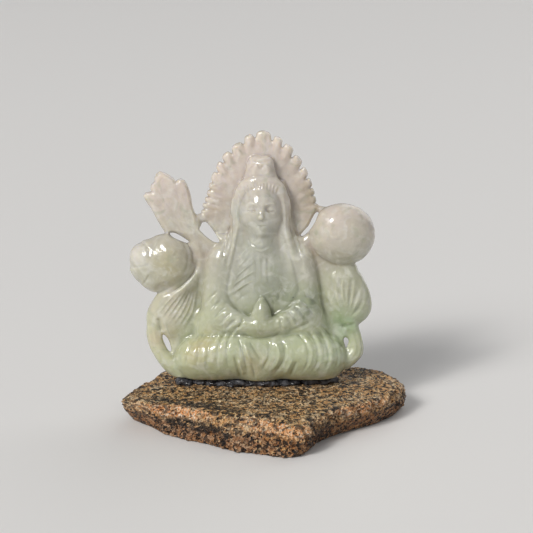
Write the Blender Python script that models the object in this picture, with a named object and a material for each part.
"""A jade carving of a seated figure, set in putty on a rough granite slab.

The real object comes apart into the carving, which is one piece of stone, the wads of putty
under it, and the slab. Each is a closed solid here.

Frame: metres, +Z up, origin on the slab's underside at the centre of its box. The figure faces -Y,
and +X is on the right as one looks at its face. Lengths below are written in millimetres.
Run it with blender --background --python part.py
"""

import math

import bmesh
import bpy
from mathutils import Matrix, Vector

MM = 0.001

# Driving dimensions, in millimetres.
SLAB_WIDTH = 81.6
SLAB_DEPTH = 54.0
SLAB_THICKNESS = 9.0
PUTTY_HEIGHT = 2.0
FIGURE_HEIGHT = 71.5
CONTACT_GAP = 0.3

# The carving's own origin: on its seat, in the plane of its halo.
FIGURE_ORIGIN = Vector((-0.7, 12.4, SLAB_THICKNESS + PUTTY_HEIGHT))

BODY_FACETS = (20, 11)
DETAIL_FACETS = (10, 7)

# The body of the figure as overlapping masses: name, centre and radii, and a tilt about Y in degrees.
MASSES = (
    ("left_knee", (-13.4, -1.5, 6.2), (12.3, 8.4, 7.2), 4),
    ("right_knee", (11.6, -1.5, 6.4), (12.2, 8.4, 7.4), -4),
    ("lap", (-1.0, -2.0, 6.4), (14.0, 8.2, 7.6), 0),
    ("hips", (-0.8, 0.4, 13.0), (18.6, 6.6, 8.4), 0),
    ("chest", (-0.8, -2.4, 26.5), (12.0, 5.0, 14.0), 0),
    ("left_arm", (-13.0, -1.6, 24.5), (4.9, 5.2, 13.0), 5),
    ("right_arm", (11.6, -1.6, 24.5), (4.9, 5.2, 13.0), -6),
    ("left_sleeve", (-9.4, -5.4, 16.8), (8.0, 4.2, 4.0), -14),
    ("right_sleeve", (8.0, -5.4, 16.8), (8.0, 4.2, 4.0), 14),
    ("hands", (-0.8, -7.4, 16.0), (5.6, 3.2, 3.4), 0),
    ("jewel", (-0.7, -7.2, 20.0), (2.9, 2.6, 4.6), 0),
    ("hood", (-0.7, 0.2, 45.6), (9.2, 5.2, 13.6), 0),
    ("head", (-0.7, -3.2, 47.4), (6.3, 5.6, 8.6), 0),
    ("topknot", (-0.8, -1.4, 59.4), (4.7, 4.0, 5.6), 0),
    ("lotus_bud", (-29.5, -1.2, 33.3), (8.8, 6.2, 8.7), 0),
    ("lotus_face", (-27.4, -4.6, 34.6), (6.4, 3.6, 6.6), 0),
    ("pearl", (22.4, -1.2, 41.9), (9.1, 7.2, 9.1), 0),
)

# The halo is a pointed arch of rays about this centre, in the carving's (x, z).
HALO_CENTRE = (-0.7, 47.0)
HALO_SIDE_RADIUS = 16.4
HALO_TOP_RADIUS = FIGURE_HEIGHT - HALO_CENTRE[1]
HALO_ARCH_POWER = 1.7
HALO_RAY_PITCH = math.radians(10.5)
HALO_RAYS_EACH_SIDE = 9
HALO_SCALLOP_DEPTH = 2.0
HALO_RAY_START = 8.0
HALO_PLATE_THICKNESS = 2.6
HALO_RAY_THICKNESS = 4.4
HALO_Y = 1.8

# The leaf beside the halo: lobes fanning out of a stem, as (x, z) tips and half widths.
LEAF_ROOT = (-20.6, 40.0)
LEAF_LOBES = (
    ((-34.3, 53.0), 2.3), ((-32.0, 56.4), 2.6), ((-29.4, 60.3), 2.7), ((-26.2, 58.9), 2.5),
    ((-22.8, 58.2), 2.3), ((-20.6, 55.0), 1.9),
)
LEAF_THICKNESS, LEAF_Y = 4.2, 0.6

# Flat openwork beside the figure: (x, z) outlines, thickness, and the middle of the thickness in y.
LEFT_SCARF = (
    (-11.0, 40.0), (-19.0, 40.6), (-22.0, 34.0), (-29.8, 25.0), (-32.6, 20.0), (-33.6, 15.5), (-33.2, 10.6),
    (-31.6, 6.6), (-28.2, 2.4), (-23.4, -0.4), (-18.0, 2.0), (-12.0, 12.0),
)
LEFT_SCARF_THICKNESS, LEFT_SCARF_Y = 5.2, -0.2
RIGHT_SCARF = (
    (10.0, 39.0), (16.0, 36.0), (26.4, 32.4), (28.8, 26.6), (30.8, 21.6), (30.2, 17.6), (27.2, 14.9),
    (28.2, 11.2), (28.7, 7.4), (27.4, 4.2), (23.8, 1.4), (19.0, 1.6), (12.0, 12.0),
)
RIGHT_SCARF_THICKNESS, RIGHT_SCARF_Y = 5.6, -0.3
PEARL_NECK = ((11.5, 44.0), (14.6, 50.4), (17.5, 49.6), (19.0, 44.0), (15.0, 42.0))
PEARL_NECK_THICKNESS, PEARL_NECK_Y = 3.2, 1.2
MANTLE = (
    (-9.0, 47.0), (-12.4, 40.4), (-15.4, 36.0), (-16.6, 29.0), (-17.4, 21.0), (-17.6, 12.0),
    (16.8, 12.0), (16.2, 21.0), (15.2, 29.0), (13.8, 35.0), (10.8, 41.2), (7.6, 47.0),
)
MANTLE_THICKNESS, MANTLE_Y = 9.0, 0.4
PLATE_EDGE_ROUNDING = 1.2

# Raised folds of cloth as tapering cords: points (x, y, z) along each, and its radius at the middle.
FOLDS = (
    ("left_scarf_upper", ((-18.5, -2.2, 31.5), (-25.0, -3.2, 26.0), (-31.4, -2.2, 19.5)), 1.7),
    ("left_scarf_middle", ((-17.5, -2.2, 26.5), (-24.5, -3.4, 21.0), (-31.6, -2.2, 13.5)), 1.7),
    ("left_scarf_lower", ((-18.0, -2.6, 21.0), (-24.0, -3.4, 16.5), (-30.0, -2.4, 8.5)), 1.6),
    ("right_scarf_outer", ((24.4, -2.2, 31.5), (27.2, -3.2, 25.0), (27.6, -2.4, 18.0)), 1.7),
    ("right_scarf_middle", ((20.6, -2.4, 32.0), (23.0, -3.6, 24.0), (23.6, -2.6, 15.0)), 1.8),
    ("right_scarf_inner", ((17.0, -2.4, 31.0), (18.8, -3.6, 23.0), (19.6, -2.8, 14.0)), 1.7),
    ("left_hem_outer", ((-21.0, -6.6, 9.6), (-20.6, -8.2, 5.6), (-18.4, -7.4, 2.0)), 1.2),
    ("left_hem_middle", ((-15.6, -8.4, 10.0), (-14.6, -9.6, 5.8), (-12.6, -8.4, 2.0)), 1.2),
    ("left_hem_inner", ((-9.2, -8.6, 11.0), (-8.0, -10.0, 6.4), (-6.0, -8.8, 2.2)), 1.2),
    ("right_hem_inner", ((6.6, -8.6, 11.0), (6.0, -10.0, 6.4), (3.6, -8.8, 2.2)), 1.2),
    ("right_hem_middle", ((13.4, -8.2, 10.6), (12.6, -9.6, 6.0), (9.6, -8.6, 2.0)), 1.2),
    ("right_hem_outer", ((19.0, -6.8, 10.0), (18.6, -8.4, 6.0), (15.6, -7.8, 2.0)), 1.2),
    ("veil_left", ((-7.4, -3.4, 47.0), (-9.4, -5.9, 34.0), (-8.2, -7.0, 21.0)), 1.3),
    ("veil_right", ((6.0, -3.4, 47.0), (8.0, -5.9, 34.0), (6.8, -7.0, 21.0)), 1.3),
    ("hair_band", ((-5.6, -3.4, 53.0), (-0.7, -5.2, 55.2), (4.2, -3.4, 53.0)), 1.2),
)
FOLD_TIP_SCALE = 0.45

# Openings pierced through the carving, as (x, z) outlines.
PIERCINGS = {
    "leaf_slot": ((-26.6, 42.3), (-24.4, 42.2), (-21.4, 39.8), (-24.2, 40.8)),
    "halo_opening": ((-18.1, 43.4), (-17.3, 45.4), (-15.0, 43.8), (-12.4, 39.8), (-15.2, 40.2)),
    "pearl_slot": ((10.7, 41.4), (13.0, 44.2), (15.0, 48.2), (14.4, 44.2), (12.6, 42.0)),
    "left_loop": ((-28.7, 12.0), (-26.9, 10.0), (-26.2, 7.2), (-27.6, 8.6)),
    "right_loop": ((23.1, 10.6), (23.5, 11.3), (24.3, 10.2), (23.7, 8.2)),
}
PIERCING_DEPTH = 30.0

# Stations round the slab, anticlockwise from its left corner: (x, y) on its upper edge and on its underside.
SLAB_STATIONS = (
    ((-40.7, -3.9), (-38.0, 3.8)), ((-32.8, -6.9), (-32.6, -2.0)), ((-27.3, -8.4), (-28.5, -8.2)),
    ((-21.9, -9.9), (-22.8, -12.3)), ((-15.4, -14.1), (-16.2, -16.0)), ((-8.4, -17.8), (-8.4, -21.9)),
    ((-2.4, -18.6), (-2.2, -23.6)), ((3.5, -21.4), (3.2, -26.0)), ((7.5, -25.4), (6.9, -26.2)),
    ((9.1, -27.0), (9.6, -25.0)), ((11.3, -24.6), (11.4, -21.4)), ((13.0, -19.8), (13.6, -15.6)),
    ((19.1, -11.6), (18.1, -9.9)), ((24.7, -9.1), (24.0, -4.7)), ((31.2, -3.5), (30.6, 0.2)),
    ((35.9, 2.3), (36.6, 7.3)), ((39.4, 10.4), (40.0, 15.3)), ((37.7, 18.6), (38.4, 20.0)),
    ((34.3, 23.7), (33.8, 23.6)), ((28.5, 27.0), (28.0, 25.2)), ((18.0, 25.0), (18.0, 23.4)),
    ((4.0, 24.2), (4.0, 22.6)), ((-12.0, 25.6), (-12.0, 23.6)), ((-22.0, 26.0), (-22.0, 23.6)),
    ((-29.8, 24.7), (-29.0, 22.4)), ((-33.6, 15.1), (-32.4, 15.0)), ((-38.2, 6.8), (-38.4, 8.4)),
)
SLAB_TOP_CHAMFER = 1.2
SLAB_WAIST_Z = 5.0
SLAB_WAIST_BULGE = 0.9

# Wads of putty pressed flat under the carving: centre (x, y) on the slab, length and depth.
PUTTY_WADS = {
    "putty_left": ((-23.6, 10.2), 5.0, 6.0),
    "putty_centre": ((-5.6, 9.2), 28.0, 11.0),
    "putty_right": ((14.6, 10.6), 10.0, 8.0),
}
PUTTY_EDGE_ROUNDING = 0.5
PUTTY_OUTLINE_POINTS = 20

JADE = {"color": (0.66, 0.72, 0.60, 1.0), "roughness": 0.18, "subsurface": 0.4}
PUTTY = {"color": (0.035, 0.037, 0.045, 1.0), "roughness": 0.45, "subsurface": 0.0}
GRANITE = {"color": (0.40, 0.29, 0.21, 1.0), "roughness": 0.8, "subsurface": 0.0}


def clear_scene():
    for obj in list(bpy.data.objects):
        bpy.data.objects.remove(obj)


def new_collection(name):
    collection = bpy.data.collections.new(name)
    bpy.context.scene.collection.children.link(collection)
    return collection


def material(name, finish):
    made = bpy.data.materials.new(name)
    made.use_nodes = True
    shader = made.node_tree.nodes["Principled BSDF"]
    shader.inputs["Base Color"].default_value = finish["color"]
    shader.inputs["Roughness"].default_value = finish["roughness"]
    shader.inputs["Metallic"].default_value = 0.0
    shader.inputs["Subsurface Weight"].default_value = finish["subsurface"]
    return made


def link_only(obj, collection):
    for old in list(obj.users_collection):
        old.objects.unlink(obj)
    collection.objects.link(obj)


def as_helper(obj, collection):
    """A guide or operand that shapes another object, and isn't a part itself."""
    link_only(obj, collection)
    obj.hide_render = True
    obj.display_type = "WIRE"
    return obj


def mesh_object(name, bm, collection):
    mesh = bpy.data.meshes.new(name)
    bm.to_mesh(mesh)
    bm.free()
    obj = bpy.data.objects.new(name, mesh)
    collection.objects.link(obj)
    return obj


def ellipsoid(name, centre, radii, tilt, collection, facets=BODY_FACETS):
    """A rounded mass of the carving, turned about Y by tilt degrees."""
    bm = bmesh.new()
    bmesh.ops.create_uvsphere(bm, u_segments=facets[0], v_segments=facets[1], radius=MM)
    shape = Matrix.Rotation(math.radians(tilt), 4, "Y") @ Matrix.Diagonal((*radii, 1.0))
    bm.transform(Matrix.Translation((FIGURE_ORIGIN + Vector(centre)) * MM) @ shape)
    return as_helper(mesh_object(name, bm, collection), collection)


def ray(name, root, tip, half_width, thickness, depth_y, collection):
    """A long rounded blade of the carving between two (x, z) points, such as a ray or a lobe of a leaf."""
    reach = Vector(tip) - Vector(root)
    middle = (Vector(tip) + Vector(root)) / 2
    lean = math.degrees(math.atan2(reach.x, reach.y))
    radii = (half_width, thickness / 2, reach.length / 2)
    return ellipsoid(name, (middle.x, depth_y, middle.y), radii, lean, collection, DETAIL_FACETS)


def plate(name, outline, thickness, depth_y, collection, rounding=0.0):
    """An upright plate of the carving: an (x, z) outline given a thickness about the plane y = depth_y."""
    curve = bpy.data.curves.new(name, "CURVE")
    curve.dimensions = "2D"
    curve.fill_mode = "BOTH"
    curve.extrude = (thickness / 2 - rounding) * MM
    curve.bevel_depth = rounding * MM
    curve.bevel_resolution = 1
    curve.offset = -rounding * MM
    spline = curve.splines.new("POLY")
    spline.points.add(len(outline) - 1)
    for point, (x, z) in zip(spline.points, outline):
        point.co = (x * MM, z * MM, 0.0, 1.0)
    spline.use_cyclic_u = True
    upright = Matrix.Rotation(math.radians(90), 4, "X")
    place = Matrix.Translation((FIGURE_ORIGIN + Vector((0.0, depth_y, 0.0))) * MM) @ upright
    return as_helper(curve_to_mesh(name, curve, place, collection), collection)


def fold(name, points, radius, collection):
    """A raised fold of cloth: a cord through the points, thickest at its middle."""
    curve = bpy.data.curves.new(name, "CURVE")
    curve.dimensions = "3D"
    curve.resolution_u = 3
    curve.bevel_depth = radius * MM
    curve.bevel_resolution = 1
    curve.use_fill_caps = True
    spline = curve.splines.new("BEZIER")
    spline.bezier_points.add(len(points) - 1)
    middle = (len(points) - 1) / 2
    for i, (point, co) in enumerate(zip(spline.bezier_points, points)):
        point.co = Vector(co) * MM
        point.handle_left_type = point.handle_right_type = "AUTO"
        point.radius = 1.0 - (1.0 - FOLD_TIP_SCALE) * abs(i - middle) / middle
    place = Matrix.Translation(FIGURE_ORIGIN * MM)
    return as_helper(curve_to_mesh(name, curve, place, collection), collection)


def curve_to_mesh(name, curve, place, collection):
    """The curve as a welded mesh object, in place of the curve."""
    obj = bpy.data.objects.new(name + "_curve", curve)
    collection.objects.link(obj)
    bpy.context.view_layer.update()
    graph = bpy.context.evaluated_depsgraph_get()
    mesh = bpy.data.meshes.new_from_object(obj.evaluated_get(graph))
    bm = bmesh.new()
    bm.from_mesh(mesh)
    bmesh.ops.remove_doubles(bm, verts=bm.verts, dist=1e-6)
    bmesh.ops.recalc_face_normals(bm, faces=bm.faces)
    bm.transform(place)
    bpy.data.meshes.remove(mesh)
    bpy.data.objects.remove(obj)
    return mesh_object(name, bm, collection)


def smooth_loop(outline, steps=4):
    """A closed Catmull-Rom curve through the outline's points."""
    count = len(outline)
    made = []
    for i in range(count):
        before, start, end, after = (Vector(outline[(i + k) % count]) for k in (-1, 0, 1, 2))
        for step in range(steps):
            t = step / steps
            made.append(
                tuple(
                    0.5
                    * (
                        2 * start
                        + (end - before) * t
                        + (2 * before - 5 * start + 4 * end - after) * t**2
                        + (3 * start - before - 3 * end + after) * t**3
                    )
                )
            )
    return made


def halo_radius(angle):
    """Reach of the halo's pointed arch at an angle from straight up."""
    rise = max(0.0, 1.0 - abs(angle) / math.radians(90)) ** HALO_ARCH_POWER
    return HALO_SIDE_RADIUS + (HALO_TOP_RADIUS - HALO_SIDE_RADIUS) * rise


def halo_point(angle, radius):
    return (HALO_CENTRE[0] + radius * math.sin(angle), HALO_CENTRE[1] + radius * math.cos(angle))


def make_halo(collection):
    """A thin arched plate carrying rounded rays, whose tips scallop its edge."""
    rim = []
    for i in range(-HALO_RAYS_EACH_SIDE, HALO_RAYS_EACH_SIDE + 1):
        angle = i * HALO_RAY_PITCH
        reach = halo_radius(angle)
        rim.append(halo_point(angle, reach - HALO_SCALLOP_DEPTH))
        half_width = 0.6 * HALO_RAY_PITCH * (reach - HALO_SCALLOP_DEPTH)
        root, tip = halo_point(angle, HALO_RAY_START), halo_point(angle, reach)
        ray(f"halo_ray_{i + HALO_RAYS_EACH_SIDE}", root, tip, half_width, HALO_RAY_THICKNESS, HALO_Y, collection)
    plate("halo_plate", [*rim, (9.0, 38.0), (-10.5, 38.0)], HALO_PLATE_THICKNESS, HALO_Y, collection)


def make_leaf(collection):
    for i, (tip, half_width) in enumerate(LEAF_LOBES):
        ray(f"leaf_lobe_{i}", LEAF_ROOT, tip, half_width, LEAF_THICKNESS, LEAF_Y, collection)
    stem_top = (LEAF_ROOT[0] - 0.6, LEAF_ROOT[1] + 6.0)
    stem_foot = (LEAF_ROOT[0] + 2.4, LEAF_ROOT[1] - 9.0)
    ray("leaf_stem", stem_foot, stem_top, 2.4, LEAF_THICKNESS, LEAF_Y, collection)


def add_boolean(obj, operation, operands):
    modifier = obj.modifiers.new(operation.title(), "BOOLEAN")
    modifier.operation = operation
    modifier.operand_type = "COLLECTION"
    modifier.collection = operands
    modifier.solver = "EXACT"


def make_carving(parts, helpers):
    """The whole carving as one stone: the masses and plates joined, then pierced and cut flat at its seat."""
    joined = new_collection("carving_masses")
    cutters = new_collection("carving_cutters")
    for name, centre, radii, tilt in MASSES[1:]:
        ellipsoid(name, centre, radii, tilt, joined)
    for name, points, radius in FOLDS:
        fold(name, points, radius, joined)
    make_halo(joined)
    make_leaf(joined)
    scarf, mantle = PLATE_EDGE_ROUNDING, 2 * PLATE_EDGE_ROUNDING
    plate("left_scarf", smooth_loop(LEFT_SCARF, 3), LEFT_SCARF_THICKNESS, LEFT_SCARF_Y, joined, scarf)
    plate("right_scarf", smooth_loop(RIGHT_SCARF, 3), RIGHT_SCARF_THICKNESS, RIGHT_SCARF_Y, joined, scarf)
    plate("mantle", MANTLE, MANTLE_THICKNESS, MANTLE_Y, joined, mantle)
    plate("pearl_neck", PEARL_NECK, PEARL_NECK_THICKNESS, PEARL_NECK_Y, joined)
    for name, outline in PIERCINGS.items():
        plate(name, smooth_loop(outline), PIERCING_DEPTH, 0.0, cutters)
    seat_cutter(cutters)

    name, centre, radii, tilt = MASSES[0]
    carving = ellipsoid("jade_carving", centre, radii, tilt, helpers)
    carving.hide_render = False
    carving.display_type = "TEXTURED"
    link_only(carving, parts)
    add_boolean(carving, "UNION", joined)
    add_boolean(carving, "DIFFERENCE", cutters)
    return carving


def seat_cutter(collection):
    """A block under the carving, whose top is the plane of the carving's seat."""
    width, depth, height = 100.0, 50.0, 12.0
    bm = bmesh.new()
    bmesh.ops.create_cube(bm, size=MM)
    centre = FIGURE_ORIGIN - Vector((0.0, 0.0, height / 2))
    bm.transform(Matrix.Translation(centre * MM) @ Matrix.Diagonal((width, depth, height, 1.0)))
    return as_helper(mesh_object("seat_block", bm, collection), collection)


def make_putty(parts):
    """Rounded flat wads that fill the space between the slab and the carving's seat."""
    thickness = PUTTY_HEIGHT - 2 * CONTACT_GAP
    made = []
    for name, (centre, length, depth) in PUTTY_WADS.items():
        curve = bpy.data.curves.new(name, "CURVE")
        curve.dimensions = "2D"
        curve.fill_mode = "BOTH"
        curve.extrude = (thickness / 2 - PUTTY_EDGE_ROUNDING) * MM
        curve.bevel_depth = PUTTY_EDGE_ROUNDING * MM
        curve.bevel_resolution = 2
        spline = curve.splines.new("POLY")
        spline.points.add(PUTTY_OUTLINE_POINTS - 1)
        for i, point in enumerate(spline.points):
            angle = 2 * math.pi * i / PUTTY_OUTLINE_POINTS
            swell = 1.0 - 0.06 * (1 - math.cos(3 * angle))
            point.co = (
                math.cos(angle) * swell * (length / 2 - PUTTY_EDGE_ROUNDING) * MM,
                math.sin(angle) * swell * (depth / 2 - PUTTY_EDGE_ROUNDING) * MM,
                0.0,
                1.0,
            )
        spline.use_cyclic_u = True
        height = SLAB_THICKNESS + PUTTY_HEIGHT / 2
        place = Matrix.Translation(Vector((*centre, height)) * MM)
        made.append(curve_to_mesh(name, curve, place, parts))
    return made


def slab_ring(height, rise, inset):
    """The slab's section at a height: rise goes from its underside, 0, to its upper edge, 1."""
    middle = Vector((0.0, 2.0))
    ring = []
    for upper, lower in SLAB_STATIONS:
        point = Vector(lower).lerp(Vector(upper), rise)
        ring.append(Vector((*(point + (middle - point).normalized() * inset), height)))
    return ring


def make_slab(parts):
    """A split stone lofted between unlike sections: underside, waist, upper edge and chamfered top."""
    rings = (
        slab_ring(0.0, 0.0, 0.0),
        slab_ring(SLAB_WAIST_Z, SLAB_WAIST_Z / SLAB_THICKNESS, -SLAB_WAIST_BULGE),
        slab_ring(SLAB_THICKNESS - SLAB_TOP_CHAMFER / 2, 1.0, 0.0),
        slab_ring(SLAB_THICKNESS, 1.0, SLAB_TOP_CHAMFER),
    )
    bm = bmesh.new()
    verts = [[bm.verts.new(point * MM) for point in ring] for ring in rings]
    count = len(SLAB_STATIONS)
    for lower, upper in zip(verts, verts[1:]):
        for i in range(count):
            j = (i + 1) % count
            bm.faces.new((lower[i], lower[j], upper[j], upper[i]))
    bm.faces.new(verts[-1])
    bm.faces.new(reversed(verts[0]))
    bmesh.ops.recalc_face_normals(bm, faces=bm.faces)
    fit_to_box(bm, SLAB_WIDTH, SLAB_DEPTH)
    return mesh_object("granite_slab", bm, parts)


def fit_to_box(bm, width, depth):
    """Centres the mesh on the Z axis and stretches its plan to a width and a depth in millimetres."""
    spans = [(min(v.co[k] for v in bm.verts), max(v.co[k] for v in bm.verts)) for k in (0, 1)]
    for vertex in bm.verts:
        for k, size in enumerate((width, depth)):
            low, high = spans[k]
            vertex.co[k] = (vertex.co[k] - (low + high) / 2) * size * MM / (high - low)


def finish(obj, surface):
    obj.data.materials.clear()
    obj.data.materials.append(surface)
    obj.data.shade_smooth()
    obj.data.set_sharp_from_angle(angle=math.radians(35))


def main():
    clear_scene()
    parts = new_collection("jade_figurine")
    helpers = new_collection("carving_helpers")
    finish(make_carving(parts, helpers), material("jade", JADE))
    putty = material("putty", PUTTY)
    for wad in make_putty(parts):
        finish(wad, putty)
    finish(make_slab(parts), material("granite", GRANITE))


main()
